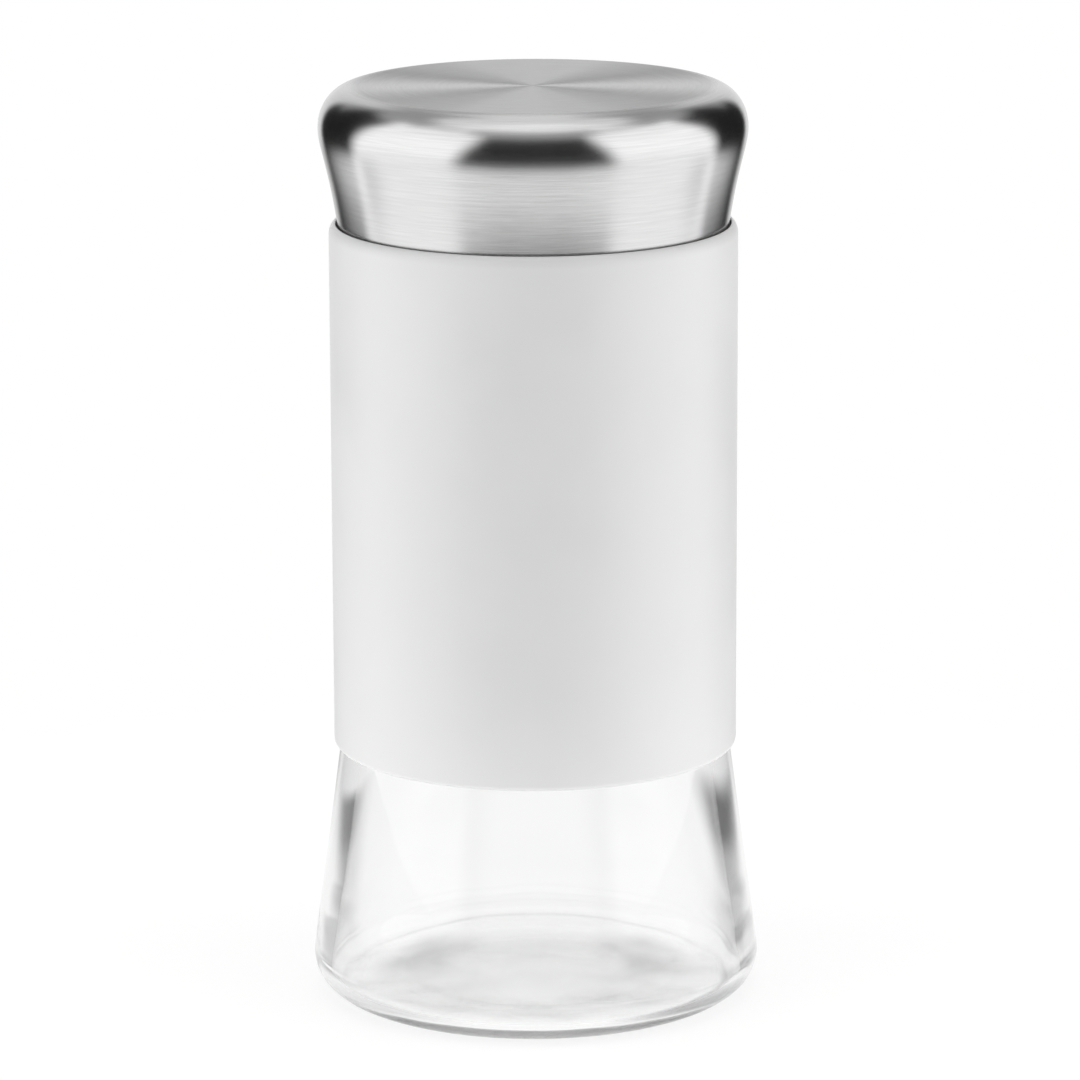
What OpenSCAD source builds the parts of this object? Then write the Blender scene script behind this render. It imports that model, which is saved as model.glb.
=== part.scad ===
// Glass salt shaker: a flared glass jar in a painted sleeve, closed by a screw cap with a metal shell.
// Millimetres, +Z up, origin at the centre of the foot. The cap is drawn screwed down.

/* [Overall] */
// Height from the table to the top of the closed cap
total_h = 115; // [105:1:140]

/* [Sleeve] */
// Outside diameter of the sleeve
sleeve_d = 50.7; // [48:0.1:58]
// Thickness of the sleeve's sheet
sleeve_t = 0.5; // [0.3:0.05:0.8]
// How far out from the straight glass the folded lower edge rests on the flare
hem_rest = 0.15; // [0.1:0.05:0.3]
// Height of the folded lower edge
hem_h = 3; // [2:0.5:6]
// Depth of the rounding on the lower edge
hem_round_w = 0.5; // [0.2:0.05:0.6]
// Height of the rounding on the lower edge
hem_round_h = 1; // [0.4:0.1:1.6]
// How far the sleeve's rim stands above the lower edge of the cap
sleeve_lap = 0.7; // [0.3:0.1:1.2]
// Height of the rounding with which the sleeve's rim is turned in
rim_turn_h = 1.4; // [1:0.1:2]

/* [Tape] */
// Thickness of the tape under the sleeve
tape_t = 0.35; // [0.2:0.05:0.6]
// Width of each tape band
tape_w = 10; // [5:1:20]
// Distance from each tape band to the end of the straight glass
tape_margin = 4; // [2:0.5:8]

/* [Glass jar] */
// How far the base flares out past the straight body
base_flare = 3.8; // [2:0.1:6]
// Height at which the flare meets the straight body
flare_h = 32.6; // [24:0.2:42]
// Radius of the rounded heel
heel_r = 4.4; // [2.5:0.1:6]
// Thickness of the body's wall
glass_wall = 2.6; // [2:0.1:3.4]
// Thickness of the floor at its edge
floor_t = 2; // [1.6:0.1:5]
// Rise of the inside floor at its centre
floor_rise = 1.4; // [0.6:0.1:3]
// Radius of the inside corner above the floor
floor_corner_r = 1.8; // [1:0.1:4]
// Diameter of the hollow under the base
hollow_d = 31; // [20:0.5:38]
// Depth of the hollow under the base
hollow_depth = 1.2; // [0.6:0.1:1.6]

/* [Neck] */
// Wall of the neck at the root of its thread
neck_wall = 2.6; // [2:0.1:3.2]
// Radius of the fillet between shoulder and neck
neck_fillet = 1.1; // [0.6:0.1:1.8]
// Gap between the glass shoulder and the lower edge of the cap
shoulder_gap = 0.9; // [0.5:0.1:3]
// How far the inside of the shoulder lies below the foot of the neck
shoulder_drop = 1; // [0.5:0.1:3]
// Rounding of the rim's outer edge
rim_outer_r = 0.8; // [0.3:0.1:1.1]
// Rounding of the rim's inner edge
rim_inner_r = 0.6; // [0.3:0.1:0.8]

/* [Thread] */
// Number of thread starts
thread_starts = 3; // [1:1:4]
// Rise of the cap in one full turn
thread_lead = 12; // [10:0.5:16]
// Depth of the thread ribs
thread_depth = 1; // [0.6:0.05:1.3]
// Width of a rib at its root
rib_root_w = 1.6; // [1:0.1:1.8]
// Width of a rib at its crest
rib_crest_w = 0.8; // [0.4:0.1:0.9]
// Clearance between a crest and the facing root
thread_clear = 0.35; // [0.25:0.05:0.6]
// Clearance between facing flanks of the closed thread
flank_clear = 0.25; // [0.15:0.05:0.4]
// Plain length left above and below the ribs
thread_margin = 1.2; // [0.6:0.1:2]

/* [Sifter] */
// Thickness of the flange on the rim
flange_t = 0.9; // [0.6:0.1:1.6]
// How far the flange stays inside the neck's thread root
flange_inset = 0.2; // [0.1:0.1:1]
// Thickness of the perforated plate
plate_t = 1; // [0.6:0.1:2]
// How far the plate lies below the top of the flange
plate_drop = 1.2; // [0.5:0.1:3]
// Length of the plug's skirt below the rim
skirt_h = 6; // [5:0.5:9]
// Wall of the plug's skirt
skirt_wall = 1.2; // [0.8:0.1:2]
// Clearance of the plug in the mouth
plug_fit = 0.05; // [0.02:0.01:0.1]
// Diameter of a pour hole
hole_d = 2; // [1.4:0.1:3]
// Distance between rings of pour holes
ring_step = 5; // [4:0.25:5.5]
// Rings of pour holes round the middle one
hole_rings = 2; // [1:1:2]

/* [Cap] */
// Height of the cap
cap_h = 17.6; // [15:0.1:22]
// How far the cap swells out past its lower edge
cap_swell = 2.3; // [1.6:0.05:3.5]
// Width of the rounded shoulder of the cap
cap_round_w = 4.2; // [2.5:0.1:5]
// Height of the rounded shoulder of the cap
cap_round_h = 5; // [2.5:0.1:6]
// Length of the side's upper curve handle
side_upper = 2.3; // [1:0.1:5]
// Length of the side's lower curve handle
side_lower = 7.7; // [3:0.1:8.5]
// Slant of the side at its lower end, in degrees
side_slant = 8; // [0:0.5:10]
// Thickness of the shell
shell_t = 0.5; // [0.3:0.05:0.7]
// Width of the edge curled in at the bottom
curl_w = 1.8; // [1.3:0.1:2.2]
// Gap between the cap's lower edge and the inside of the sleeve's wall
cap_gap = 0.6; // [0.4:0.05:1.1]
// Gap between the cap's lower edge and the turned-in rim of the sleeve
rim_gap = 0.25; // [0.2:0.05:0.35]

/* [Cap liner] */
// Wall of the liner's skirt
liner_wall = 1.4; // [1:0.1:2]
// Thickness of the liner's top
liner_top_t = 1.3; // [0.8:0.1:2]
// Air gap between the liner's skirt and the shell's lower edge
liner_gap = 1.1; // [0.8:0.1:1.7]
// Rounding of the liner's top edge
liner_round = 1; // [0.4:0.1:1.2]
// Height of the liner's lower flange
liner_flange_h = 1.2; // [0.8:0.1:2]
// Thickness of the seal disc
seal_t = 1.2; // [0.8:0.1:2]
// Clearance round the edge of the seal disc
seal_gap = 0.3; // [0.2:0.05:0.6]
// Thickness of the glue ring
glue_t = 0.5; // [0.3:0.05:1]
// Outside diameter of the glue ring
glue_d = 34; // [28:0.5:42]
// Width of the glue ring
glue_w = 5; // [2:0.5:8]

/* [Hidden] */
$fn = 96;
// Straight steps in a rounded stretch of an outline
arc_steps = 8;
// Straight steps of a thread rib in one turn
rib_steps = 48;
// Turn over which a rib runs out into its wall, in degrees
rib_ramp = 18;
// How far a rib reaches into its wall
rib_root = 0.4;
// How far below its wall's surface a rib ends, as a share of its depth
rib_sink = 0.15;
// Points nearer than this are one point
same_point = 1e-6;
// Gap that keeps bonded or stacked faces just clear of each other
bond_gap = 0.05;

// Radii, from the sleeve inwards
sleeve_r = sleeve_d / 2;
sleeve_in_r = sleeve_r - sleeve_t;
body_r = sleeve_in_r - tape_t - 2 * bond_gap;
body_in_r = body_r - glass_wall;
base_r = body_r + base_flare;
cap_foot_r = sleeve_in_r - cap_gap;
cap_r = cap_foot_r + cap_swell;
sleeve_rim_r = cap_foot_r + rim_gap;
liner_r = cap_foot_r - shell_t - liner_gap;
liner_in_r = liner_r - liner_wall;
neck_r = liner_in_r - thread_clear - thread_depth;
mouth_r = neck_r - neck_wall;
plug_r = mouth_r - plug_fit;

// Heights, from the top of the cap downwards
liner_top_z = total_h - shell_t - glue_t;
seal_top_z = liner_top_z - liner_top_t - bond_gap;
flange_top_z = seal_top_z - seal_t - bond_gap;
rim_z = flange_top_z - flange_t;
cap_foot_z = total_h - cap_h;
neck_foot_z = cap_foot_z - shoulder_gap;
shoulder_r = body_r - neck_r - neck_fillet;
shoulder_z = neck_foot_z - shoulder_r;
inner_shoulder_z = neck_foot_z - shoulder_drop;
sleeve_top_z = cap_foot_z + sleeve_lap;
liner_foot_z = cap_foot_z + shell_t;

// The flare is the line from the top of the flare that touches the heel's arc
heel_x = base_r - heel_r;
flare_run = [body_r - heel_x, flare_h - heel_r];
flare_a = atan2(flare_run[1], flare_run[0]) - acos(heel_r / norm(flare_run));
// Distance of that line from the origin, along its normal
flare_c = body_r * cos(flare_a) + flare_h * sin(flare_a);
// The sleeve's folded edge rests on the flare
hem_in_r = body_r + hem_rest;
sleeve_foot_z = flare_h - (hem_rest - bond_gap) / tan(flare_a);

// Heights of the rib centre lines, and how far the cap's ribs lie below the neck's
rib_mid_w = (rib_root_w + rib_crest_w) / 2;
neck_rib_low = neck_foot_z + neck_fillet + thread_margin + rib_root_w / 2;
neck_rib_high = rim_z - rim_outer_r - thread_margin - rib_root_w / 2;
cap_rib_drop = rib_mid_w + flank_clear;
cap_rib_low = liner_foot_z + thread_margin + rib_root_w / 2;
cap_rib_high = neck_rib_high - cap_rib_drop;

// Points of an elliptical arc from angle a0 to angle a1
function arc(centre, rx, rz, a0, a1) = [
    for (i = [0:arc_steps])
        let (a = a0 + (a1 - a0) * i / arc_steps)
        centre + [rx * cos(a), rz * sin(a)]
];

function flip(points) = [for (i = [len(points) - 1:-1:0]) points[i]];

// Radius of the flare at height z, drawn in by inset square to its surface
function flare_at(z, inset) = (flare_c - inset - z * sin(flare_a)) / cos(flare_a);

// Centre of the rounding where the cap's side meets its curled edge, and the end of the side on it
cap_corner = [cap_foot_r - shell_t, cap_foot_z + shell_t];
side_foot = cap_corner + shell_t * [cos(side_slant), -sin(side_slant)];
// Ends and handles of the curve that the cap's side follows, from its widest place down
side_ends = [
    [cap_r, total_h - cap_round_h],
    [cap_r, total_h - cap_round_h - side_upper],
    side_foot + side_lower * [sin(side_slant), cos(side_slant)],
    side_foot
];

function mix(a, b, t) = a + (b - a) * t;

function side_point(p, t) =
    len(p) == 1 ? p[0] : side_point([for (i = [0:len(p) - 2]) mix(p[i], p[i + 1], t)], t);

// The cap's side, drawn in by inset square to its surface
function cap_side(inset) = [
    for (i = [0:arc_steps])
        let (
            t = i / arc_steps,
            slope = side_point([for (k = [0:2]) side_ends[k + 1] - side_ends[k]], t)
        )
        side_point(side_ends, t) + inset * [slope[1], -slope[0]] / norm(slope)
];

// An outline without the points that repeat where two stretches meet
function joined(points) = [
    for (i = [0:len(points) - 1])
        if (i == 0 || norm(points[i] - points[i - 1]) > same_point) points[i]
];

module turned(outline) rotate_extrude() polygon(joined(outline));

// One helical rib standing on a wall of radius root_r, from height z0 to z1
module rib(root_r, crest_r, z0, z1, turn) {
    out = sign(crest_r - root_r);
    sweep = (z1 - z0) / thread_lead * 360;
    steps = ceil(sweep / 360 * rib_steps);
    wide = rib_root_w + (rib_root_w - rib_crest_w) * rib_root / thread_depth;
    rows = [
        for (i = [0:steps])
            let (
                z = z0 + (z1 - z0) * i / steps,
                a = turn + sweep * i / steps,
                rise = min(1, sweep * min(i, steps - i) / steps / rib_ramp),
                crest = root_r + (crest_r - root_r) * (rise * (1 + rib_sink) - rib_sink),
                root = root_r - out * rib_root
            )
            [
                for (p = [[root, -wide], [crest, -rib_crest_w], [crest, rib_crest_w], [root, wide]])
                    [p[0] * cos(a), p[0] * sin(a), z + p[1] / 2]
            ]
    ];
    strips = [
        for (i = [0:steps - 1], k = [0:3])
            let (a = 4 * i + k, b = 4 * i + (k + 1) % 4)
            each [[a, b, b + 4], [a, b + 4, a + 4]]
    ];
    last = 4 * steps;
    ends = [[0, 3, 2], [0, 2, 1], [last, last + 1, last + 2], [last, last + 2, last + 3]];
    // An inward rib has its rows the other way round, so its faces are turned over
    faces = [for (f = concat(strips, ends)) out > 0 ? f : [f[0], f[2], f[1]]];
    polyhedron([for (row = rows) each row], faces, convexity = 6);
}

// All starts of one thread. Ribs cross angle 0 at height zero_z and at each pitch from it.
module ribs(root_r, crest_r, z0, z1, zero_z)
    for (k = [0:thread_starts - 1])
        rib(root_r, crest_r, z0, z1, (z0 - zero_z) / thread_lead * 360 + k * 360 / thread_starts);

module glass_jar() {
    corner_z = floor_t + floor_corner_r;
    corner_x = flare_at(corner_z, glass_wall + floor_corner_r);
    bend_r = (body_in_r - mouth_r) / 2;
    outside = concat(
        arc([0, 0], hollow_d / 2, hollow_depth, 90, 0),
        arc([heel_x, heel_r], heel_r, heel_r, -90, flare_a),
        [[body_r, flare_h]],
        arc([body_r - shoulder_r, shoulder_z], shoulder_r, shoulder_r, 0, 90),
        arc([neck_r, neck_foot_z] + neck_fillet * [1, 1], neck_fillet, neck_fillet, -90, -180),
        arc([neck_r, rim_z] - rim_outer_r * [1, 1], rim_outer_r, rim_outer_r, 0, 90)
    );
    inside = concat(
        arc([mouth_r + rim_inner_r, rim_z - rim_inner_r], rim_inner_r, rim_inner_r, 90, 180),
        arc([mouth_r + bend_r, inner_shoulder_z], bend_r, bend_r, 180, 270),
        arc([body_in_r - bend_r, inner_shoulder_z - 2 * bend_r], bend_r, bend_r, 90, 0),
        [[body_in_r, flare_h - glass_wall * tan(flare_a / 2)]],
        arc([corner_x, corner_z], floor_corner_r, floor_corner_r, flare_a, -90),
        [
            for (i = [1:arc_steps])
                let (x = corner_x * (1 - i / arc_steps))
                [x, floor_t + floor_rise * (1 + cos(180 * x / corner_x)) / 2]
        ]
    );
    color([0.8, 0.9, 0.9, 0.5]) union() {
        turned(concat(outside, inside));
        ribs(neck_r, neck_r + thread_depth, neck_rib_low, neck_rib_high, neck_rib_low);
    }
}

module sleeve() {
    turn_at = [sleeve_rim_r, sleeve_top_z - rim_turn_h];
    turn_w = sleeve_r - sleeve_rim_r;
    hem_top_z = sleeve_foot_z + hem_h;
    color("white") turned(concat(
        arc([sleeve_r - hem_round_w, sleeve_foot_z + hem_round_h], hem_round_w, hem_round_h, -90, 0),
        arc(turn_at, turn_w, rim_turn_h, 0, 90),
        arc(turn_at, turn_w - sleeve_t, rim_turn_h - sleeve_t, 90, 0),
        [
            [sleeve_in_r, hem_top_z + sleeve_in_r - hem_in_r],
            [hem_in_r, hem_top_z],
            [hem_in_r, sleeve_foot_z]
        ]
    ));
}

module tape_band(z)
    color("gold") turned([
        [body_r + bond_gap, z],
        [sleeve_in_r - bond_gap, z],
        [sleeve_in_r - bond_gap, z + tape_w],
        [body_r + bond_gap, z + tape_w]
    ]);

module sleeve_tape_upper() tape_band(shoulder_z - tape_margin - tape_w);

module sleeve_tape_lower() tape_band(flare_h + tape_margin);

module sifter_insert() {
    skirt_in_r = plug_r - skirt_wall;
    skirt_foot_z = rim_z - skirt_h;
    plate_top_z = flange_top_z - plate_drop;
    flange_r = neck_r - flange_inset;
    lead_in = skirt_wall / 2;
    color("whitesmoke") difference() {
        turned([
            [0, plate_top_z - plate_t],
            [skirt_in_r, plate_top_z - plate_t],
            [skirt_in_r, skirt_foot_z],
            [plug_r - lead_in, skirt_foot_z],
            [plug_r, skirt_foot_z + 2 * lead_in],
            [plug_r, rim_z],
            [flange_r, rim_z],
            [flange_r, flange_top_z],
            [skirt_in_r, flange_top_z],
            [skirt_in_r, plate_top_z],
            [0, plate_top_z]
        ]);
        for (ring = [0:hole_rings], k = [0:max(0, 6 * ring - 1)])
            rotate(ring == 0 ? 0 : 60 * k / ring)
                translate([ring * ring_step, 0, plate_top_z - 2 * plate_t])
                    cylinder(h = 3 * plate_t, d = hole_d);
    }
}

module seal_disc()
    color("lightgrey")
        translate([0, 0, seal_top_z - seal_t])
            cylinder(h = seal_t, r = liner_in_r - seal_gap);

module cap_liner() {
    ceiling_z = liner_top_z - liner_top_t;
    flange_r = cap_foot_r - shell_t - bond_gap;
    color("gainsboro") union() {
        turned(concat(
            [
                [0, ceiling_z],
                [liner_in_r, ceiling_z],
                [liner_in_r, liner_foot_z],
                [flange_r, liner_foot_z],
                [flange_r, liner_foot_z + liner_flange_h],
                [liner_r, liner_foot_z + liner_flange_h]
            ],
            arc([liner_r, liner_top_z] - liner_round * [1, 1], liner_round, liner_round, 0, 90),
            [[0, liner_top_z]]
        ));
        ribs(liner_in_r, liner_in_r - thread_depth, cap_rib_low, cap_rib_high,
             neck_rib_low - cap_rib_drop);
    }
}

module cap_glue_ring()
    color("khaki")
        translate([0, 0, liner_top_z])
            difference() {
                cylinder(h = glue_t, d = glue_d);
                translate([0, 0, -glue_t]) cylinder(h = 3 * glue_t, d = glue_d - 2 * glue_w);
            }

module cap_shell() {
    round_at = [cap_r - cap_round_w, total_h - cap_round_h];
    curl_in_r = cap_foot_r - curl_w;
    outside = concat(
        [[0, total_h]],
        arc(round_at, cap_round_w, cap_round_h, 90, 0),
        cap_side(0),
        arc(cap_corner, shell_t, shell_t, -side_slant, -90)
    );
    inside = concat(
        [[0, total_h - shell_t]],
        arc(round_at, cap_round_w - shell_t, cap_round_h - shell_t, 90, 0),
        cap_side(shell_t)
    );
    curl = [[curl_in_r, cap_foot_z], [curl_in_r, cap_foot_z + shell_t]];
    color("silver") turned(concat(outside, curl, flip(inside)));
}

glass_jar();
sleeve();
sleeve_tape_upper();
sleeve_tape_lower();
sifter_insert();
seal_disc();
cap_liner();
cap_glue_ring();
cap_shell();
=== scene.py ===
"""Looks of the salt shaker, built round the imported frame. Metres, +Z up, the front faces -Y."""
import math

import bmesh
import bpy
from mathutils import Matrix, Vector


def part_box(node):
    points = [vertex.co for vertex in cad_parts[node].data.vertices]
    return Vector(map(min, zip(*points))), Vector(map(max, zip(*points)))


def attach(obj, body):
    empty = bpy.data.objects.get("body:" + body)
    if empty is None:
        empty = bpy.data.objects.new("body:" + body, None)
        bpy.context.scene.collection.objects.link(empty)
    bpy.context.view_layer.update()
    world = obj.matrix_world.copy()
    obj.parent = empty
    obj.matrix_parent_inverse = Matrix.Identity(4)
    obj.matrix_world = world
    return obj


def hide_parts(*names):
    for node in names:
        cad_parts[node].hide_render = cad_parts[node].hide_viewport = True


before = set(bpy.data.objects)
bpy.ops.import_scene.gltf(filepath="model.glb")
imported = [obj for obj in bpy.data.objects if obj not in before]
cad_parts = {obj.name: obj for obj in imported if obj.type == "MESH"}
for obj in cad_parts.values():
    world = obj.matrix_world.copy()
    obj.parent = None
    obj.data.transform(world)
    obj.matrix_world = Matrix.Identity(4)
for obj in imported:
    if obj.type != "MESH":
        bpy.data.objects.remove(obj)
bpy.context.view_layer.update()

MM = 0.001
TINY = 1e-7

# Fineness of the meshes
SEGMENTS = 192
ARC_STEP = math.radians(6)
SWELL_STEPS = 64
SIDE_STEPS = 40
THREAD_STEP = 0.2 * MM
HOLE_SIDES = 32
HOLD = 0.12 * MM

# Sizes of the frame
shell_low, shell_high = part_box("cap_shell")
sleeve_low, sleeve_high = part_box("sleeve")
_, glass_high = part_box("glass_jar")
seal_low, seal_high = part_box("seal_disc")
sifter_low, sifter_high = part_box("sifter_insert")
liner_low, liner_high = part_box("cap_liner")
CAP_R, CAP_TOP, CAP_FOOT = min(shell_high[:2]), shell_high[2], shell_low[2]
SLEEVE_R, SLEEVE_TOP, SLEEVE_FOOT = min(sleeve_high[:2]), sleeve_high[2], sleeve_low[2]
BASE_R, RIM_Z = min(glass_high[:2]), glass_high[2]
SEAL_R, SEAL_TOP, SEAL_FOOT = seal_high[0], seal_high[2], seal_low[2]
FLANGE_R, FLANGE_TOP, SKIRT_FOOT = sifter_high[0], sifter_high[2], sifter_low[2]
LINER_FLANGE_R, LINER_TOP, LINER_FOOT = liner_high[0], liner_high[2], liner_low[2]

# Sheet, walls and gaps
SLEEVE_T = 0.5 * MM
TAPE_GAP = 0.45 * MM
HEM_REST = 0.15 * MM
HEM_H = 3 * MM
SLEEVE_FOOT_ROUND = 0.6 * MM
RIM_TURN_H = 1.4 * MM
RIM_EDGE = 0.12 * MM
RIM_EDGE_DROP = 1.15 * RIM_EDGE
SHELL_T = 0.5 * MM
CAP_GAP = 0.6 * MM
RIM_GAP = 0.25 * MM
CURL_W = 1.8 * MM
CURL_EDGE = 0.475 * SHELL_T
LINER_GAP = 1.1 * MM
LINER_WALL = 1.4 * MM
LINER_TOP_T = 1.3 * MM
LINER_TOP_ROUND = 1 * MM
LINER_FLANGE_H = 1.2 * MM

# Fillets of small edges
FILLET_TINY = 0.1 * MM
FILLET_FINE = 0.15 * MM
FILLET_SMALL = 0.2 * MM
FILLET = 0.3 * MM
FILLET_LARGE = 0.4 * MM

# Cap outline
CAP_ROUND_W = 4.2 * MM
CAP_ROUND_H = 5 * MM
SIDE_UPPER = 2.3 * MM
SIDE_LOWER = 7.7 * MM
SIDE_SLANT = math.radians(8)

# Glass outline. Fillets that meet end to end take nearly all of the room between them
HEEL_R = 4.4 * MM
FLARE_H = 32.6 * MM
FLARE_ROUND = 14 * MM
GLASS_WALL = 2.6 * MM
FLOOR_T = 2 * MM
FLOOR_RISE = 1.4 * MM
FLOOR_CORNER_R = 1.8 * MM
HOLLOW_R = 15.5 * MM
HOLLOW_DEPTH = 1.2 * MM
NECK_WALL = 2.6 * MM
NECK_FILLET = 1.1 * MM
SHOULDER_GAP = 0.9 * MM
SHOULDER_DROP = 1 * MM
RIM_OUTER_R = 0.8 * MM
RIM_INNER_R = 0.6 * MM
NEARLY_ALL = 0.999

# Thread
STARTS = 3
LEAD = 12 * MM
THREAD_DEPTH = 1 * MM
THREAD_CLEAR = 0.35 * MM
FLANK_CLEAR = 0.25 * MM
THREAD_MARGIN = 1.2 * MM
RIB_ROOT_W = 1.6 * MM
RIB_CREST_W = 0.8 * MM
RIB_RAMP = 0.6 * MM

# Sifter
PLATE_T = 1 * MM
PLATE_DROP = 1.2 * MM
SKIRT_WALL = 1.2 * MM
PLUG_FIT = 0.05 * MM
HOLE_R = 1 * MM
HOLE_BEVEL = 0.3 * MM
RING_STEP = 5 * MM
HOLE_RINGS = 2
HOLES_IN_FIRST_RING = 6
SHARP_EDGE = math.radians(40)

# Derived radii and heights
SLEEVE_IN_R = SLEEVE_R - SLEEVE_T
BODY_R = SLEEVE_IN_R - TAPE_GAP
BODY_IN_R = BODY_R - GLASS_WALL
CAP_FOOT_R = SLEEVE_IN_R - CAP_GAP
SLEEVE_RIM_R = CAP_FOOT_R + RIM_GAP
LINER_R = CAP_FOOT_R - SHELL_T - LINER_GAP
LINER_IN_R = LINER_R - LINER_WALL
NECK_R = LINER_IN_R - THREAD_CLEAR - THREAD_DEPTH
MOUTH_R = NECK_R - NECK_WALL
NECK_FOOT = CAP_FOOT - SHOULDER_GAP
NECK_RIB_LOW = NECK_FOOT + NECK_FILLET + THREAD_MARGIN + RIB_ROOT_W / 2
NECK_RIB_HIGH = RIM_Z - RIM_OUTER_R - THREAD_MARGIN - RIB_ROOT_W / 2
CAP_RIB_DROP = (RIB_ROOT_W + RIB_CREST_W) / 2 + FLANK_CLEAR
CAP_RIB_LOW = LINER_FOOT + THREAD_MARGIN + RIB_ROOT_W / 2
CAP_RIB_HIGH = NECK_RIB_HIGH - CAP_RIB_DROP


# Outlines: lists of (radius, height), turned round the Z axis

def arc(centre, rx, rz, a0, a1):
    """Points of an elliptical arc, with its end angles in degrees."""
    a0, a1 = math.radians(a0), math.radians(a1)
    steps = max(2, math.ceil(abs(a1 - a0) / ARC_STEP))
    angles = [a0 + (a1 - a0) * i / steps for i in range(steps + 1)]
    return [(centre[0] + rx * math.cos(a), centre[1] + rz * math.sin(a)) for a in angles]


def rounded(corners):
    """An open outline from corners (radius, height, fillet), with its long straights held flat."""
    points = [Vector(c[:2]) for c in corners]
    out = []
    for i, (p, fillet) in enumerate(zip(points, (c[2] for c in corners))):
        if not fillet or i in (0, len(points) - 1):
            out.append(p)
            continue
        back = (points[i - 1] - p).normalized()
        ahead = (points[i + 1] - p).normalized()
        half = back.angle(ahead) / 2
        start, end = p + back * fillet / math.tan(half), p + ahead * fillet / math.tan(half)
        centre = p + (back + ahead).normalized() * fillet / math.sin(half)
        turn = math.pi - 2 * half
        steps = max(2, math.ceil(turn / ARC_STEP))
        a, b = start - centre, end - centre
        for k in range(steps + 1):
            t = k / steps
            spun = a * math.sin((1 - t) * turn) + b * math.sin(t * turn)
            out.append(centre + spun / math.sin(turn))
    return [tuple(p) for p in held(out)]


def held(points):
    """The outline with a point near each end of its long straights, so that they shade as flat."""
    out = [points[0]]
    for p, q in zip(points, points[1:]):
        step = q - p
        if step.length > 4 * HOLD:
            out += [p + step.normalized() * HOLD, p + step * (1 - HOLD / step.length)]
        out.append(q)
    return out


def divided(outline, low, high, radius):
    """The outline with its stretch at that radius, between two heights, cut fine enough for a thread."""
    out = [outline[0]]
    for p, q in zip(outline, outline[1:]):
        wall = max(abs(p[0] - radius), abs(q[0] - radius)) < TINY
        inside = min(p[1], q[1]) < high and max(p[1], q[1]) > low
        parts = max(1, math.ceil(abs(q[1] - p[1]) / THREAD_STEP)) if wall and inside else 1
        shares = [k / parts for k in range(1, parts + 1)]
        out += [(p[0] + (q[0] - p[0]) * share, p[1] + (q[1] - p[1]) * share) for share in shares]
    return out


def swell(radius, height, base=0.0):
    """Corners of a cosine swell, from its middle out to its edge at that radius."""
    shares = [k / SWELL_STEPS for k in range(SWELL_STEPS + 1)]
    return [(radius * s, base + height * (1 + math.cos(math.pi * s)) / 2, 0) for s in shares]


def bezier(ends, steps):
    """Points of a cubic curve."""
    out = []
    for k in range(steps + 1):
        t = k / steps
        weights = [(1 - t) ** 3, 3 * t * (1 - t) ** 2, 3 * t * t * (1 - t), t**3]
        out.append(tuple(sum(w * e[n] for w, e in zip(weights, ends)) for n in (0, 1)))
    return out


def inset(points, depth):
    """A curve that runs downwards, moved in towards the axis square to itself."""
    out = []
    for i, p in enumerate(points):
        a, b = points[max(i - 1, 0)], points[min(i + 1, len(points) - 1)]
        slope = Vector((b[0] - a[0], b[1] - a[1])).normalized()
        out.append((p[0] + depth * slope[1], p[1] - depth * slope[0]))
    return out


def merged(points):
    """The outline without points that repeat where two stretches meet."""
    return [p for i, p in enumerate(points) if i == 0 or math.dist(p, points[i - 1]) > TINY / 10]


def lathe(name, outline, closed=False, shift=None):
    """A mesh piece turned round the Z axis. shift(radius, angle, height) gives a vertex's new radius."""
    outline = merged(outline)
    bm = bmesh.new()
    along = bm.verts.layers.float.new("along")
    rows, length = [], 0.0
    for i, (r, z) in enumerate(outline):
        length += math.dist(outline[i], outline[i - 1]) if i else 0
        count = 1 if r < TINY else SEGMENTS
        row = []
        for k in range(count):
            a = 2 * math.pi * k / count
            out = shift(r, a, z) if shift else r
            row.append(bm.verts.new((out * math.cos(a), out * math.sin(a), z)))
            row[-1][along] = length / MM
        rows.append(row)
    pairs = list(zip(rows, rows[1:])) + ([(rows[-1], rows[0])] if closed else [])
    for a, b in pairs:
        for k in range(SEGMENTS):
            n = (k + 1) % SEGMENTS
            quad = [a[k % len(a)], a[n % len(a)], b[n % len(b)], b[k % len(b)]]
            bm.faces.new(list(dict.fromkeys(quad)))
    bmesh.ops.recalc_face_normals(bm, faces=bm.faces)
    return piece(name, bm)


def piece(name, bm):
    """A smooth-shaded object made of a bmesh."""
    mesh = bpy.data.meshes.new(name)
    for face in bm.faces:
        face.smooth = True
    bm.to_mesh(mesh)
    bm.free()
    obj = bpy.data.objects.new(name, mesh)
    bpy.context.collection.objects.link(obj)
    return obj


def rib(angle, z, low, high, zero):
    """Height of the thread ribs, from 0 to 1, at a place on the wall."""
    pitch = LEAD / STARTS
    phase = (z - zero) / pitch - angle * STARTS / (2 * math.pi)
    off = pitch * (phase - round(phase))
    rise = min((z - off) - low, high - (z - off)) / RIB_RAMP
    flank = (RIB_ROOT_W / 2 - abs(off)) / (RIB_ROOT_W - RIB_CREST_W) * 2
    return smooth(rise) * smooth(flank)


def smooth(t):
    t = min(1.0, max(0.0, t))
    return t * t * (3 - 2 * t)


# Materials. A SPAN holds a low and a high input and, where given, the outputs there

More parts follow.
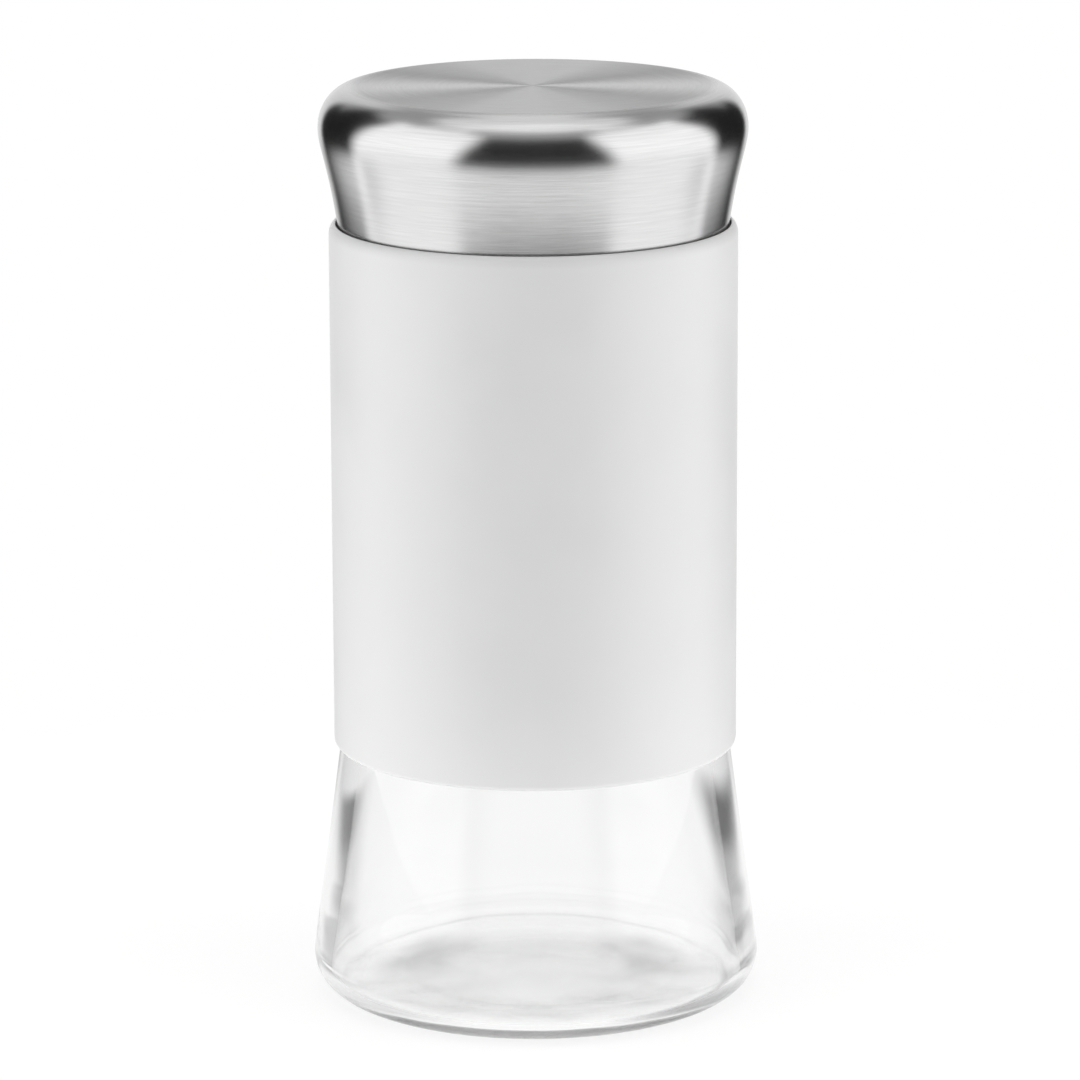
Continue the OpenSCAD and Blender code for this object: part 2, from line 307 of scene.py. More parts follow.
NOISE_SPAN = 0.3, 0.7
STEEL_TONES = 0.495, 0.55
STEEL_ROUGH = 0.37, 0.185
STEEL_UNEVEN = 1.08, 0.92
STEEL_FINE_SHARE = 0.6
PAINT_TONES = 0.74, 0.76
PAINT_ROUGH = 0.36, 0.44
GLASS_TINT = 0.99, 0.992, 0.991
GLASS_FILM_SPAN = 0.35, 0.75, 0.0, 0.015
GLASS_WAVE = 0.25 * MM
GLASS_WAVE_SPAN = 7 * MM, 15 * MM, 1.0, 0.06
FOOT_STIPPLE_R = 17 * MM
FOOT_STIPPLE_EDGE = 0.5 * MM
FOOT_STIPPLE_SPAN = 0.2 * MM, 0.5 * MM, 0.2, 0.0
HOLLOW_STIPPLE_FADE = 4 * MM
HOLLOW_STIPPLE_SPAN = 0.75 * FLOOR_T, 0.9 * FLOOR_T, 0.25, 0.12
HOLLOW_STIPPLE_TOP = FLOOR_T + 1.5 * FLOOR_RISE


class Tree:
    """Short calls for the nodes of a material or a world."""

    def __init__(self, owner):
        owner.use_nodes = True
        self.tree = owner.node_tree
        self.tree.nodes.clear()

    def node(self, kind, inputs=None, **settings):
        made = self.tree.nodes.new(kind)
        for key, value in settings.items():
            setattr(made, key, value)
        for key, value in (inputs or {}).items():
            self.put(made.inputs[key], value)
        return made

    def put(self, socket, value):
        if isinstance(value, bpy.types.NodeSocket):
            self.tree.links.new(value, socket)
        else:
            socket.default_value = value

    def math(self, operation, *values):
        return self.node("ShaderNodeMath", dict(enumerate(values)), operation=operation).outputs[0]

    def chain(self, operation, values):
        made = values[0]
        for value in values[1:]:
            made = self.math(operation, made, value)
        return made

    def product(self, *values):
        return self.chain("MULTIPLY", values)

    def total(self, *values):
        return self.chain("ADD", values)

    def largest(self, *values):
        return self.chain("MAXIMUM", values)

    def span(self, value, low, high, out_low=0.0, out_high=1.0, kind="SMOOTHSTEP"):
        """A number that runs from out_low to out_high as the value goes from low to high."""
        inputs = {"Value": value, "From Min": low, "From Max": high, "To Min": out_low, "To Max": out_high}
        return self.node("ShaderNodeMapRange", inputs, interpolation_type=kind).outputs[0]

    def blend(self, factor, first, second):
        """A number that runs from one to another as the factor goes from 0 to 1."""
        return self.node("ShaderNodeMix", {"Factor": factor, "A": first, "B": second}).outputs[0]

    def shade(self, factor, first, second):
        """A colour that runs from one to another as the factor goes from 0 to 1."""
        made = self.node("ShaderNodeMix", {"Factor": factor}, data_type="RGBA")
        made.inputs[6].default_value = (*first, 1)
        made.inputs[7].default_value = (*second, 1)
        return made.outputs[2]

    def mix(self, factor, first, second):
        """A shader that runs from one to another as the factor goes from 0 to 1."""
        made = self.node("ShaderNodeMixShader", {0: factor})
        self.tree.links.new(first.outputs[0], made.inputs[1])
        self.tree.links.new(second.outputs[0], made.inputs[2])
        return made

    def noise(self, vector, scale, detail=2.0, rough=0.5):
        inputs = {"Vector": vector, "Scale": scale, "Detail": detail, "Roughness": rough}
        return self.node("ShaderNodeTexNoise", inputs).outputs["Fac"]

    def bump(self, height, distance, strength):
        inputs = {"Height": height, "Distance": distance, "Strength": strength}
        return self.node("ShaderNodeBump", inputs).outputs[0]

    def place(self):
        return self.node("ShaderNodeTexCoord").outputs["Object"]

    def parts(self, vector):
        """The x, y and z of a vector."""
        return self.node("ShaderNodeSeparateXYZ", {"Vector": vector}).outputs

    def radius(self, place):
        """Distance from the Z axis."""
        level = self.node("ShaderNodeVectorMath", {0: place, 1: (1, 1, 0)}, operation="MULTIPLY").outputs[0]
        return self.node("ShaderNodeVectorMath", {0: level}, operation="LENGTH").outputs["Value"]

    def finish(self, shader, kind="ShaderNodeOutputMaterial"):
        self.tree.links.new(shader, self.node(kind).inputs["Surface"])


def material(name):
    made = bpy.data.materials.new(name)
    return made, Tree(made)


def greys(tones):
    """Grey colours of those tones."""
    return [(tone, tone, tone) for tone in tones]


def brushed_steel():
    """Stainless steel brushed round its axis, with fine lines of uneven length."""
    made, t = material("brushed_steel")
    place = t.place()
    x, y, _ = t.parts(place)
    radius = t.largest(t.radius(place), 0.01 * MM)
    along = t.node("ShaderNodeAttribute", attribute_name="along").outputs["Fac"]

    def lines(around, across):
        vector = t.node("ShaderNodeCombineXYZ", {
            "X": t.product(t.math("DIVIDE", x, radius), around),
            "Y": t.product(t.math("DIVIDE", y, radius), around),
            "Z": t.product(along, across),
        }).outputs[0]
        return t.noise(vector, 1.0, 3.0, 0.6)

    fine, coarse = lines(around=5.0, across=14.0), lines(around=2.0, across=3.0)
    both = t.total(t.product(fine, STEEL_FINE_SHARE), t.product(coarse, 1 - STEEL_FINE_SHARE))
    top_edge = (CAP_R - CAP_ROUND_W) / MM
    sheen = t.span(along, top_edge - 1.0, top_edge + 1.5, *STEEL_ROUGH)
    shader = t.node("ShaderNodeBsdfPrincipled", {
        "Base Color": t.shade(t.span(both, *NOISE_SPAN), *greys(STEEL_TONES)),
        "Metallic": 1.0,
        "Roughness": t.product(sheen, t.span(both, *NOISE_SPAN, *STEEL_UNEVEN)),
        "Anisotropic": 0.95,
        "Anisotropic Rotation": 0.25,
        "Normal": t.bump(both, 0.02 * MM, 0.25),
        "Tangent": t.node("ShaderNodeTangent", direction_type="RADIAL", axis="Z").outputs[0],
    })
    t.finish(shader.outputs[0])
    return made


def satin_paint():
    """White stove enamel on sheet steel: a faint orange peel and a slightly uneven sheen."""
    made, t = material("sleeve_paint")
    place = t.place()
    cloud = t.noise(place, 60.0, 3.0)
    peel = t.noise(place, 1400.0, 2.0)
    shader = t.node("ShaderNodeBsdfPrincipled", {
        "Base Color": t.shade(t.span(cloud, *NOISE_SPAN), *greys(PAINT_TONES)),
        "Roughness": t.span(cloud, *NOISE_SPAN, *PAINT_ROUGH),
        "IOR": 1.5,
        "Normal": t.bump(peel, 0.02 * MM, 0.12),
    })
    t.finish(shader.outputs[0])
    return made


def clear_glass():
    """Pressed clear glass with a slow waviness, stippled where it stands and faintly so in its hollow."""
    made, t = material("glass")
    place = t.place()
    radius = t.radius(place)
    _, _, height = t.parts(place)
    wave = t.product(t.noise(place, 90.0, 1.0), t.span(height, *GLASS_WAVE_SPAN))
    film = t.span(t.noise(place, 300.0, 3.0), *GLASS_FILM_SPAN)
    foot = t.product(
        t.span(radius, FOOT_STIPPLE_R - FOOT_STIPPLE_EDGE, FOOT_STIPPLE_R + FOOT_STIPPLE_EDGE),
        t.span(height, *FOOT_STIPPLE_SPAN),
    )
    hollow = t.product(
        t.span(radius, HOLLOW_R, HOLLOW_R + HOLLOW_STIPPLE_FADE, 1.0, 0.0),
        t.span(height, *HOLLOW_STIPPLE_SPAN),
        t.math("LESS_THAN", height, HOLLOW_STIPPLE_TOP),
    )
    shader = t.node("ShaderNodeBsdfPrincipled", {
        "Base Color": (*GLASS_TINT, 1),
        "Roughness": t.largest(foot, hollow, film),
        "IOR": 1.5,
        "Transmission Weight": 1.0,
        "Normal": t.bump(wave, GLASS_WAVE, 1.0),
    })
    t.finish(shader.outputs[0])
    return made


def moulded(name, low, high, grain=900.0, rough=(0.42, 0.55), peel=0.15, soft=0.0):
    """Moulded plastic: a fine grain, a cloudy tone and an uneven sheen."""
    made, t = material(name)
    place = t.place()
    cloud = t.noise(place, 120.0, 3.0)
    fine = t.noise(place, grain, 3.0, 0.6)
    shader = t.node("ShaderNodeBsdfPrincipled", {
        "Base Color": t.shade(t.span(cloud, *NOISE_SPAN), low, high),
        "Roughness": t.span(fine, *NOISE_SPAN, *rough),
        "Normal": t.bump(fine, 0.03 * MM, peel),
        "Subsurface Weight": soft,
        "Subsurface Radius": (1.5 * MM, 1.4 * MM, 1.2 * MM),
        "Subsurface Scale": 1.0,
    })
    t.finish(shader.outputs[0])
    return made


STEEL = brushed_steel()
PAINT = satin_paint()
GLASS = clear_glass()
SIFTER = moulded("sifter_plastic", (0.80, 0.80, 0.78), (0.86, 0.86, 0.84), soft=0.2)
LINER = moulded("liner_plastic", (0.66, 0.67, 0.68), (0.72, 0.73, 0.74))
SEAL = moulded("seal", (0.80, 0.80, 0.77), (0.86, 0.86, 0.83), grain=2500.0, rough=(0.6, 0.8), peel=0.5)
TAPE = moulded("tape", (0.76, 0.72, 0.60), (0.84, 0.80, 0.68), grain=1800.0, rough=(0.6, 0.8), peel=0.4)
GLUE = moulded("glue", (0.62, 0.50, 0.26), (0.74, 0.62, 0.36), grain=400.0, rough=(0.2, 0.35), peel=0.3)


# Pieces

def dress(obj, surface, slot, body, *nodes):
    """Gives a piece its material and the body that it rides on, and hides the nodes that it stands for.
    slot is not used.
    """
    obj.data.materials.clear()
    obj.data.materials.append(surface)
    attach(obj, body)
    if nodes:
        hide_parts(*nodes)


def make_glass():
    """The jar: hollow, heel, flare, body, threaded neck, and the inside down to its raised floor."""
    heel_x = BASE_R - HEEL_R
    run = Vector((BODY_R - heel_x, FLARE_H - HEEL_R))
    lean = math.atan2(run.y, run.x) - math.acos(HEEL_R / run.length)
    flare = BODY_R * math.cos(lean) + FLARE_H * math.sin(lean)

    def flare_at(z, depth):
        """Radius of the flare's straight side at a height, that deep in the glass."""
        return (flare - depth - z * math.sin(lean)) / math.cos(lean)

    shoulder_r = BODY_R - NECK_R - NECK_FILLET
    bend_r = (BODY_IN_R - MOUTH_R) / 2
    bend_z = NECK_FOOT - SHOULDER_DROP - bend_r
    floor_corner = flare_at(FLOOR_T, GLASS_WALL)
    floor = swell(floor_corner - FLOOR_CORNER_R, FLOOR_RISE, FLOOR_T)
    corners = swell(HOLLOW_R, HOLLOW_DEPTH) + [
        (flare_at(0, 0), 0, HEEL_R),
        (BODY_R, FLARE_H, FLARE_ROUND),
        (BODY_R, NECK_FOOT, shoulder_r * NEARLY_ALL),
        (NECK_R, NECK_FOOT, NECK_FILLET * NEARLY_ALL),
        (NECK_R, RIM_Z, RIM_OUTER_R),
        (MOUTH_R, RIM_Z, RIM_INNER_R),
        (MOUTH_R, bend_z, bend_r * NEARLY_ALL),
        (BODY_IN_R, bend_z, bend_r * NEARLY_ALL),
        (BODY_IN_R, FLARE_H - GLASS_WALL * math.tan(lean / 2), FLARE_ROUND),
        (floor_corner, FLOOR_T, FLOOR_CORNER_R),
    ] + floor[-2::-1]
    outline = divided(rounded(corners), NECK_RIB_LOW - RIB_ROOT_W, NECK_RIB_HIGH + RIB_ROOT_W, NECK_R)

    def shift(r, angle, z):
        on_neck = abs(r - NECK_R) < TINY
        height = rib(angle, z, NECK_RIB_LOW, NECK_RIB_HIGH, NECK_RIB_LOW) if on_neck else 0
        return r + THREAD_DEPTH * height

    dress(lathe("jar_glass", outline, shift=shift), GLASS, "glass", "jar", "glass_jar")


def make_sleeve():
    """A tube of sheet, folded at its foot and turned in at its rim."""
    hem_in_r = BODY_R + HEM_REST
    turn_at = (SLEEVE_RIM_R, SLEEVE_TOP - RIM_TURN_H)
    turn_w = SLEEVE_R - SLEEVE_RIM_R
    wall = rounded([
        (SLEEVE_IN_R, turn_at[1], 0),
        (SLEEVE_IN_R, SLEEVE_FOOT + HEM_H + SLEEVE_IN_R - hem_in_r, FILLET_TINY),
        (hem_in_r, SLEEVE_FOOT + HEM_H, FILLET_TINY),
        (hem_in_r, SLEEVE_FOOT, FILLET_FINE),
        (SLEEVE_R, SLEEVE_FOOT, SLEEVE_FOOT_ROUND),
        (SLEEVE_R, turn_at[1], 0),
    ])
    edge_r = SLEEVE_RIM_R + RIM_EDGE
    outer = [p for p in arc(turn_at, turn_w, RIM_TURN_H, 0, 90) if p[0] > edge_r]
    inner = [p for p in arc(turn_at, turn_w - SLEEVE_T, RIM_TURN_H - SLEEVE_T, 90, 0) if p[0] > edge_r]
    edge = arc((edge_r, SLEEVE_TOP - RIM_EDGE_DROP), RIM_EDGE, RIM_EDGE, 90, 180)
    edge += arc((edge_r, SLEEVE_TOP - SLEEVE_T + RIM_EDGE), RIM_EDGE, RIM_EDGE, 180, 270)
    obj = lathe("sleeve_tube", wall + outer + edge + inner[:-1], closed=True)
    dress(obj, PAINT, "sleeve_paint", "jar", "sleeve")


def make_cap_shell():
    """A spun shell: flat top, rounded shoulder, hollow sides and an edge curled in at its foot."""
    centre = (CAP_R - CAP_ROUND_W, CAP_TOP - CAP_ROUND_H)
    corner = Vector((CAP_FOOT_R - SHELL_T, CAP_FOOT + SHELL_T))
    foot = corner + SHELL_T * Vector((math.cos(SIDE_SLANT), -math.sin(SIDE_SLANT)))
    side = bezier([
        (CAP_R, centre[1]),
        (CAP_R, centre[1] - SIDE_UPPER),
        foot + SIDE_LOWER * Vector((math.sin(SIDE_SLANT), math.cos(SIDE_SLANT))),
        foot,
    ], SIDE_STEPS)
    outside = [(0, CAP_TOP), (centre[0] - HOLD, CAP_TOP)]
    outside += arc(centre, CAP_ROUND_W, CAP_ROUND_H, 90, 0) + side
    outside += arc(corner, SHELL_T, SHELL_T, -math.degrees(SIDE_SLANT), -90)
    curl_r = CAP_FOOT_R - CURL_W + CURL_EDGE
    curl = arc((curl_r, CAP_FOOT + CURL_EDGE), CURL_EDGE, CURL_EDGE, 270, 180)
    curl += arc((curl_r, CAP_FOOT + SHELL_T - CURL_EDGE), CURL_EDGE, CURL_EDGE, 180, 90)
    inside = [(0, CAP_TOP - SHELL_T), (centre[0] - HOLD, CAP_TOP - SHELL_T)]
    inside += arc(centre, CAP_ROUND_W - SHELL_T, CAP_ROUND_H - SHELL_T, 90, 0) + inset(side, SHELL_T)
    obj = lathe("cap_cover", outside + curl + inside[::-1])
    dress(obj, STEEL, "brushed_steel", "cap", "cap_shell")


def make_liner():
    """The inner cap: a flanged cup with the female thread."""
    ceiling = LINER_TOP - LINER_TOP_T
    outline = rounded([
        (0, ceiling, 0),
        (LINER_IN_R, ceiling, FILLET_LARGE),
        (LINER_IN_R, LINER_FOOT, FILLET),
        (LINER_FLANGE_R, LINER_FOOT, FILLET_FINE),
        (LINER_FLANGE_R, LINER_FOOT + LINER_FLANGE_H, FILLET_SMALL),
        (LINER_R, LINER_FOOT + LINER_FLANGE_H, FILLET),
        (LINER_R, LINER_TOP, LINER_TOP_ROUND),
        (0, LINER_TOP, 0),
    ])
    outline = divided(outline, CAP_RIB_LOW - RIB_ROOT_W, CAP_RIB_HIGH + RIB_ROOT_W, LINER_IN_R)

    def shift(r, angle, z):
        on_wall = abs(r - LINER_IN_R) < TINY
        height = rib(angle, z, CAP_RIB_LOW, CAP_RIB_HIGH, NECK_RIB_LOW - CAP_RIB_DROP) if on_wall else 0
        return r - THREAD_DEPTH * height

    dress(lathe("cap_inner", outline, shift=shift), LINER, "liner_plastic", "cap", "cap_liner")


def make_seal():
    """The loose wad under the liner's top."""
    outline = rounded([
        (0, SEAL_FOOT, 0),
        (SEAL_R, SEAL_FOOT, FILLET),
        (SEAL_R, SEAL_TOP, FILLET),
        (0, SEAL_TOP, 0),
    ])
    dress(lathe("seal_wad", outline), SEAL, "seal", "seal", "seal_disc")


def make_sifter():
    """The plug in the mouth: a flange, a skirt and a sunk plate with rings of pour holes."""
    plug_r = MOUTH_R - PLUG_FIT
    skirt_in_r = plug_r - SKIRT_WALL
    plate_top = FLANGE_TOP - PLATE_DROP
    obj = lathe("sifter_plug", rounded([
        (0, plate_top - PLATE_T, 0),
        (skirt_in_r, plate_top - PLATE_T, FILLET),
        (skirt_in_r, SKIRT_FOOT, FILLET_SMALL),
        (plug_r - SKIRT_WALL / 2, SKIRT_FOOT, FILLET_SMALL),
        (plug_r, SKIRT_FOOT + SKIRT_WALL, FILLET_LARGE),
        (plug_r, RIM_Z, FILLET_TINY),
        (FLANGE_R, RIM_Z, FILLET_SMALL),
        (FLANGE_R, FLANGE_TOP, FILLET_LARGE),
        (skirt_in_r, FLANGE_TOP, FILLET),
        (skirt_in_r, plate_top, FILLET_LARGE),
        (0, plate_top, 0),
    ]))
    bm = bmesh.new()
    for ring in range(HOLE_RINGS + 1):
        count = max(1, HOLES_IN_FIRST_RING * ring)
        for k in range(count):
            angle = 2 * math.pi * k / count
            pour_hole(bm, RING_STEP * ring * math.cos(angle), RING_STEP * ring * math.sin(angle), plate_top)
    bmesh.ops.recalc_face_normals(bm, faces=bm.faces)
    holes = piece("holes", bm)
    cut = obj.modifiers.new("holes", "BOOLEAN")
    cut.object, cut.operation, cut.solver = holes, "DIFFERENCE", "EXACT"
    applied = bpy.data.meshes.new_from_object(obj.evaluated_get(bpy.context.evaluated_depsgraph_get()))
    obj.modifiers.clear()
    obj.data = applied
    bpy.data.objects.remove(holes)
    obj.data.set_sharp_from_angle(angle=SHARP_EDGE)
    dress(obj, SIFTER, "sifter_plastic", "jar", "sifter_insert")


def pour_hole(bm, x, y, plate_top):
    """Adds a closed cutter for one pour hole, widened by a bevel at both faces of the plate."""
    wide = HOLE_R + 2 * HOLE_BEVEL
    rows = [
        (wide, HOLE_BEVEL),
        (HOLE_R, -HOLE_BEVEL),
        (HOLE_R, HOLE_BEVEL - PLATE_T),
        (wide, -HOLE_BEVEL - PLATE_T),
    ]
    angles = [2 * math.pi * k / HOLE_SIDES for k in range(HOLE_SIDES)]
    rings = []
    for r, z in rows:
        spots = [(x + r * math.cos(a), y + r * math.sin(a), plate_top + z) for a in angles]
        rings.append([bm.verts.new(spot) for spot in spots])
    for a, b in zip(rings, rings[1:]):
        for k in range(HOLE_SIDES):
            n = (k + 1) % HOLE_SIDES
            bm.faces.new((a[k], a[n], b[n], b[k]))
    bm.faces.new(rings[0])
    bm.faces.new(rings[-1])


make_glass()
make_sleeve()
make_cap_shell()
make_liner()
make_seal()
make_sifter()
for node, surface in {"sleeve_tape_upper": TAPE, "sleeve_tape_lower": TAPE, "cap_glue_ring": GLUE}.items():
    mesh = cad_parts[node].data
    mesh.materials.clear()
    mesh.materials.append(surface)


# Camera

CAMERA_DISTANCE = 700 * MM
CAMERA_LENS = 186.1
CAMERA_SENSOR = 36
CAMERA_CLIP = 10 * MM
CAMERA_RISE = math.radians(13.22)
CAMERA_ROLL = math.radians(0.19)
CAMERA_AIM = Vector((0.69 * MM, 0, 57.55 * MM))


def make_camera():
    data = bpy.data.cameras.new("camera")
    data.lens, data.sensor_width, data.clip_start = CAMERA_LENS, CAMERA_SENSOR, CAMERA_CLIP
    obj = bpy.data.objects.new("camera", data)
    bpy.context.collection.objects.link(obj)
    back = Vector((0, -math.cos(CAMERA_RISE), math.sin(CAMERA_RISE)))
    right = Vector((1, 0, 0))
    up = back.cross(right)
    tilted_up = up * math.cos(CAMERA_ROLL) + right * math.sin(CAMERA_ROLL)
    tilted_right = tilted_up.cross(back)
    turned = Matrix((tilted_right, tilted_up, back)).transposed()
    obj.matrix_world = Matrix.Translation(CAMERA_AIM + back * CAMERA_DISTANCE) @ turned.to_4x4()
    bpy.context.scene.camera = obj


# Floor

FLOOR_R = 250 * MM
FLOOR_SIDES = 64
FLOOR_GAP = 0.05 * MM
FLOOR_FADE_SPAN = 70 * MM, 150 * MM
FLOOR_TONE = 0.95
FLOOR_UNEVEN = 0.01
FLOOR_SEEN = 1.3
FLOOR_GLOW = 1.7
SHADOW_SHARE = 0.15

# Painted shadows and painted shade on the floor, which only the glass shows. x and y are places on the
# floor
SIDE_SPAN = -20 * MM, 20 * MM
UNDER_SPAN = 12 * MM, 18 * MM, 0.12, 0.0
UNDER_Y_SPAN = -14 * MM, -5 * MM
CRESCENT_SHARE = 0.6
CRESCENT_RING = 9 * MM, 13 * MM, 17 * MM, 22 * MM
CRESCENT_SIDE_SPAN = 0.4, 0.8
CRESCENT_Y_SPAN = -8 * MM, 2 * MM
PAINTED_SHADOW_UNEVEN_SPAN = 0.35, 0.65, 0.75, 1.25
HEEL_RING = 23 * MM, 25 * MM, 29 * MM, 33 * MM
HEEL_LEFT_SPAN = -20 * MM, -8 * MM, 0.35, 0.0
HEEL_RIGHT_SPAN = 8 * MM, 20 * MM, 0.0, 0.85
HEEL_Y_SPAN = -6 * MM, 5 * MM, 1.0, 0.0
# Painted shade that grows towards each side, seen only through the glass
PAINTED_SIDE_SHADE_INNER_SPAN = 6 * MM, 12 * MM, 0.0, 0.045
PAINTED_SIDE_SHADE_OUTER_SPAN = 20 * MM, 38 * MM, 0.0, 0.06

# Painted dark streaks among those tones, which the glass shows as dark refractions. A SPAN is a range, and
# any other pair is of the left and the right
STREAK_FROM = 42 * MM, 32 * MM
STREAK_TO = 84 * MM, 60 * MM
STREAK_NEAR = 0.58, 0.54
STREAK_DEEP = 0.72, 0.8
STREAK_DEEP_SPAN = 58 * MM, 78 * MM
STREAK_FADE = 92 * MM
STREAK_END = 106 * MM, 118 * MM
STREAK_REST = 0.08
LOW_STREAK = 0.5, 0.68
LOW_STREAK_FOOT = 0.85, 0.2
LOW_STREAK_SIDE_SPAN = 24 * MM, 48 * MM
LOW_STREAK_RISE_SPAN = 8 * MM, 24 * MM
LOW_STREAK_FALL_SPAN = 34 * MM, 48 * MM


def make_floor():
    """A white floor with a pale shadow, which fades out into the background.

    What comes through the glass sees painted shade on it: painted shadows under the base, a painted
    shade at the front of the heel, and far out at each side a painted dark streak, which the sides of the
    glass show.
    """
    made, t = material("floor")
    made.cycles.emission_sampling = "NONE"
    place = t.place()
    radius = t.radius(place)
    x, y, _ = t.parts(place)
    aside = t.math("ABSOLUTE", x)
    right = t.span(x, *SIDE_SPAN)
    path = t.node("ShaderNodeLightPath").outputs
    through = path["Is Transmission Ray"]

    def ring(rise, top, fall, end):
        return t.product(t.span(radius, rise, top), t.span(radius, fall, end, 1.0, 0.0))

    def painted_shadows():
        """Painted soft, uneven shadows: one under the hollow and a crescent at each side of it."""
        middle = t.product(t.span(radius, *UNDER_SPAN), t.span(y, *UNDER_Y_SPAN))
        at_side = t.span(t.math("DIVIDE", aside, radius), *CRESCENT_SIDE_SPAN)
        crescents = t.product(CRESCENT_SHARE, ring(*CRESCENT_RING), at_side, t.span(y, *CRESCENT_Y_SPAN))
        uneven = t.span(t.noise(place, 120.0, 2.0), *PAINTED_SHADOW_UNEVEN_SPAN)
        # Painted shadow: these shares pull in the shaded paper where the glass blocks the light.
        return t.product(t.total(middle, crescents), uneven)

    def heel():
        """A shade at the front of the heel, stronger on the right."""
        sides = t.total(t.span(x, *HEEL_LEFT_SPAN), t.span(x, *HEEL_RIGHT_SPAN))
        return t.product(sides, ring(*HEEL_RING), t.span(y, *HEEL_Y_SPAN))

    def painted_streaks():
        """Painted darkness on the floor where the rays that the sides of the glass bend away meet it."""
        across = t.span(aside, t.blend(right, *STREAK_FROM), t.blend(right, *STREAK_TO))
        deep = t.span(y, *STREAK_DEEP_SPAN)
        level = t.blend(deep, t.blend(right, *STREAK_NEAR), t.blend(right, *STREAK_DEEP))
        ending = t.span(y, STREAK_FADE, t.blend(right, *STREAK_END), 1.0, STREAK_REST)
        low = t.product(
            t.span(aside, *LOW_STREAK_SIDE_SPAN),
            t.span(y, *LOW_STREAK_RISE_SPAN, t.blend(right, *LOW_STREAK_FOOT), 1.0),
            t.span(y, *LOW_STREAK_FALL_SPAN, t.blend(right, *LOW_STREAK), 0.0),
        )
        # Painted shade that grows towards each side, seen only through the glass
        painted_side_shade = t.total(t.span(aside, *PAINTED_SIDE_SHADE_INNER_SPAN), t.span(aside, *PAINTED_SIDE_SHADE_OUTER_SPAN))
        return t.largest(t.product(across, level, ending), low, painted_side_shade)

    cloud = t.noise(place, 40.0, 3.0)
    tone = t.span(cloud, *NOISE_SPAN, FLOOR_TONE - FLOOR_UNEVEN, FLOOR_TONE + FLOOR_UNEVEN)
    tone = t.total(tone, t.product(path["Is Camera Ray"], FLOOR_SEEN - FLOOR_TONE))
    paper = t.node("ShaderNodeBsdfDiffuse", {
        "Color": t.node("ShaderNodeCombineColor", {0: tone, 1: tone, 2: tone}).outputs[0],
    })
    white = t.node("ShaderNodeEmission", {
        "Strength": t.blend(through, 1.0, t.math("SUBTRACT", 1.0, painted_streaks())),
    })
    glow = t.node("ShaderNodeEmission", {"Strength": FLOOR_GLOW})
    share = t.blend(through, SHADOW_SHARE, t.total(heel(), painted_shadows()))
    near = t.mix(path["Is Diffuse Ray"], t.mix(share, white, paper), glow)
    clear = t.node("ShaderNodeBsdfTransparent")
    fade = t.blend(through, t.span(radius, *FLOOR_FADE_SPAN), 0.0)
    t.finish(t.mix(fade, near, clear).outputs[0])
    bm = bmesh.new()
    bmesh.ops.create_circle(bm, cap_ends=True, segments=FLOOR_SIDES, radius=FLOOR_R)
    floor = piece("floor", bm)
    floor.location.z = -FLOOR_GAP
    floor.data.materials.append(made)


# Light. Angles are in degrees, from the front round to the back and up from the horizon

LIGHT_TURN = math.radians(1.2)
BACKDROP_SEEN = 0.96
ROOM_TONE = 0.02
PANEL_SIDES = 41, 112
PANEL_LEAN_SPAN = -20.0, 30.0, -4.0, 8.0
PANEL_SOFT = 7.0
CEILING_SOFT = 15.0
CEILING = 61
BACK_LIGHT_TOP = 40
SPOKE_TONES = 0.87, 0.52
SPOKE_RISE_SPAN = 5.0, 11.0
SPOKE_FALL_SPAN = 28.0, 42.0
FRONT, BACK, DOWN, UP = -20, 200, -120, 120
BOUNCES = 24


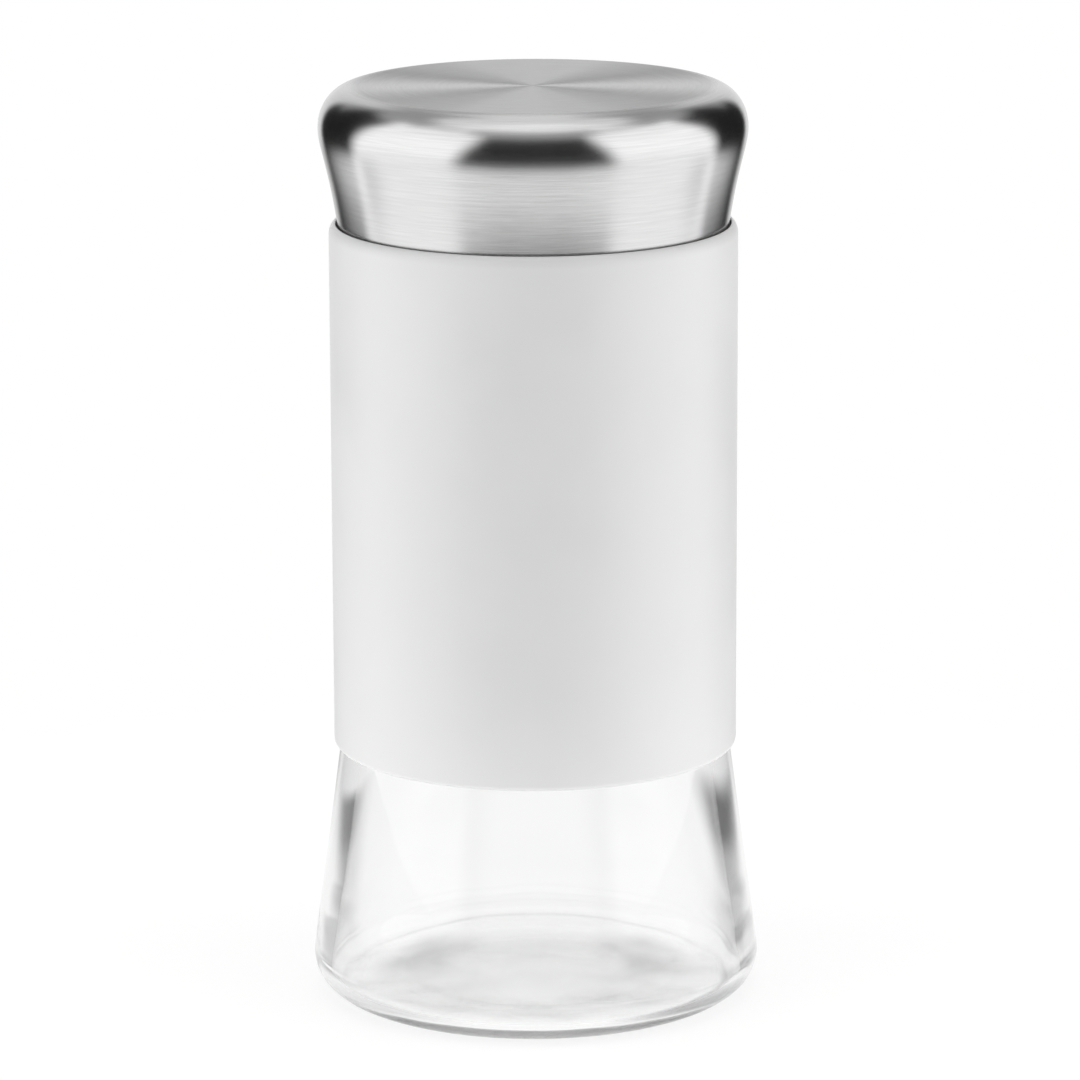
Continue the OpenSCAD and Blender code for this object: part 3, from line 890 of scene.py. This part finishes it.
def make_world():
    """A white background. Light and reflections come from a dim room with lamps and a bright table."""
    scene = bpy.context.scene
    scene.world = bpy.data.worlds.new("studio")
    t = Tree(scene.world)
    straight = t.node("ShaderNodeTexCoord").outputs["Generated"]
    turning = {"Vector": straight, "Angle": -LIGHT_TURN}
    turned = t.node("ShaderNodeVectorRotate", turning, rotation_type="Z_AXIS").outputs[0]

    def from_front(direction):
        x, y, _ = t.parts(direction)
        return t.math("DEGREES", t.math("ABSOLUTE", t.math("ARCTAN2", x, t.product(y, -1.0))))

    around = from_front(turned)
    rise = t.math("DEGREES", t.math("ARCSINE", t.parts(turned)["Z"]))
    leaning = t.total(around, t.span(rise, *PANEL_LEAN_SPAN, kind="LINEAR"))

    def patch(level, around_low, around_high, rise_low, rise_high, soft=5.0, side_soft=5.0, across=around):
        """A soft-edged patch of that brightness on both sides. FRONT, BACK, DOWN and UP leave no edge."""
        value = level
        sides = (across, around_low, around_high, side_soft), (rise, rise_low, rise_high, soft)
        for angle, low, high, edge in sides:
            inside = t.span(angle, high - edge, high + edge, 1.0, 0.0)
            value = t.product(value, t.span(angle, low - edge, low + edge), inside)
        return value

    def spokes():
        """Tone of the back light by the angle round the camera's mirror image: darker on the diagonals."""
        behind = t.math("SUBTRACT", 180.0, from_front(straight))
        above = t.math("SUBTRACT", rise, math.degrees(CAMERA_RISE))
        spoke = t.math("DEGREES", t.math("ARCTAN2", behind, above))
        diagonal = t.product(t.span(spoke, *SPOKE_RISE_SPAN), t.span(spoke, *SPOKE_FALL_SPAN, 1.0, 0.0))
        return t.blend(diagonal, *SPOKE_TONES)

    panels = t.total(
        patch(1.45, *PANEL_SIDES, -23, 46, side_soft=PANEL_SOFT, across=leaning),
        patch(0.25, *PANEL_SIDES, -10, 30, side_soft=PANEL_SOFT, across=leaning),
        patch(0.5, 48, 88, 46, CEILING),
    )
    ceiling = t.total(
        patch(1.58, FRONT, 80, CEILING, UP, side_soft=CEILING_SOFT),
        patch(1.1, 80, BACK, CEILING, UP, side_soft=CEILING_SOFT),
        patch(0.45, FRONT, 168, BACK_LIGHT_TOP, CEILING),
        patch(1.15, 168, BACK, BACK_LIGHT_TOP, CEILING),
    )
    back_light = t.total(
        t.product(patch(1.0, 156, BACK, -14, BACK_LIGHT_TOP), spokes()),
        patch(0.35, 145, 156, 20, BACK_LIGHT_TOP),
    )
    table = t.total(
        patch(1.45, FRONT, 44, DOWN, -28, soft=4.0, side_soft=20.0),
        patch(0.4, 24, 46, -31, -25, soft=4.0, side_soft=10.0),
        patch(1.5, 44, 112, DOWN, -23, side_soft=20.0),
        patch(1.25, 115, BACK, DOWN, -19),
    )
    light = t.total(ROOM_TONE, panels, ceiling, back_light, table)
    path = t.node("ShaderNodeLightPath").outputs
    strength = t.blend(path["Is Transmission Ray"], light, BACKDROP_SEEN)
    strength = t.blend(path["Is Camera Ray"], strength, 1.0)
    white = t.node("ShaderNodeBackground", {"Color": (1, 1, 1, 1), "Strength": strength})
    t.finish(white.outputs[0], "ShaderNodeOutputWorld")


def set_bounces():
    """Lets light find its way through the thick glass."""
    cycles = bpy.context.scene.cycles
    cycles.max_bounces = BOUNCES
    cycles.transmission_bounces = BOUNCES
    cycles.glossy_bounces = BOUNCES


make_camera()
make_floor()
make_world()
set_bounces()
bpy.context.scene.view_settings.view_transform = "Standard"
